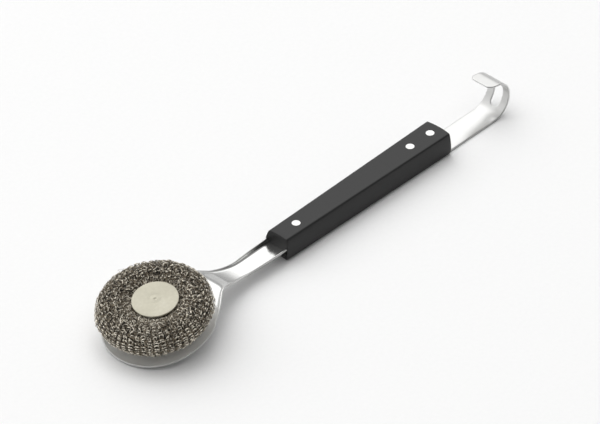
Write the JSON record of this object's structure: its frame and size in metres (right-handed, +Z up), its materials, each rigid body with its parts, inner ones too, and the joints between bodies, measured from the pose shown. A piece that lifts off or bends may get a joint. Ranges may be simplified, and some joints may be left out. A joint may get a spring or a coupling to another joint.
{
  "type": "grill cleaning brush",
  "caption": "Long-handled grill brush with a round knitted wire scourer clamped in a dished steel head, a riveted black handle and a slotted hanging hook.",
  "frame": {"origin": "centre of the tool's footprint, on the ground it lies on", "axes": "+X along the tool from the head to the hanging hook, +Z up out of the scourer, and +Y across the tool so that the frame is right-handed; the XZ plane is the tool's plane of symmetry"},
  "size_m": [0.4317, 0.0924, 0.0456],
  "materials": {
    "steel": "polished",
    "disc_steel": "dull, faintly yellow",
    "scourer_wire": "loosely knitted steel wire",
    "handle_black": "satin"
  },
  "bodies": {
    "brush": {"head_blade": "steel", "hook_strip": "steel", "upper_scale": "handle_black", "lower_scale": "handle_black", "front_rivet_cap": "steel", "front_rivet_post": "steel", "middle_rivet_cap": "steel", "middle_rivet_post": "steel", "rear_rivet_cap": "steel", "rear_rivet_post": "steel"},
    "scourer": {"scourer_ring": "scourer_wire"},
    "clamp": {"retaining_disc": "disc_steel", "threaded_boss": "steel"},
    "washer": {"lock_washer": "steel"},
    "screw": {"clamp_screw": "steel"}
  },
  "joints": [
    {"name": "scourer_lift", "type": "slide", "parent": "brush", "child": "scourer", "axis": [-0.1994, 0, 0.9799], "range_m": [0, 0.03]},
    {"name": "disc_lift", "type": "slide", "parent": "scourer", "child": "clamp", "axis": [-0.1994, 0, 0.9799], "range_m": [0, 0.04]},
    {"name": "screw_out", "type": "slide", "parent": "brush", "child": "washer", "axis": [0.1994, 0, -0.9799], "range_m": [0, 0.012]},
    {"name": "screw_turn", "type": "hinge", "parent": "washer", "child": "screw", "pos_m": [-0.16625, 0, 0.00397], "axis": [-0.1994, 0, 0.9799], "range_deg": [0, 5400.5]}
  ],
  "couplings": [
    {"joint": "screw_turn", "follows": "screw_out", "rad_per_m": 7854}
  ]
}
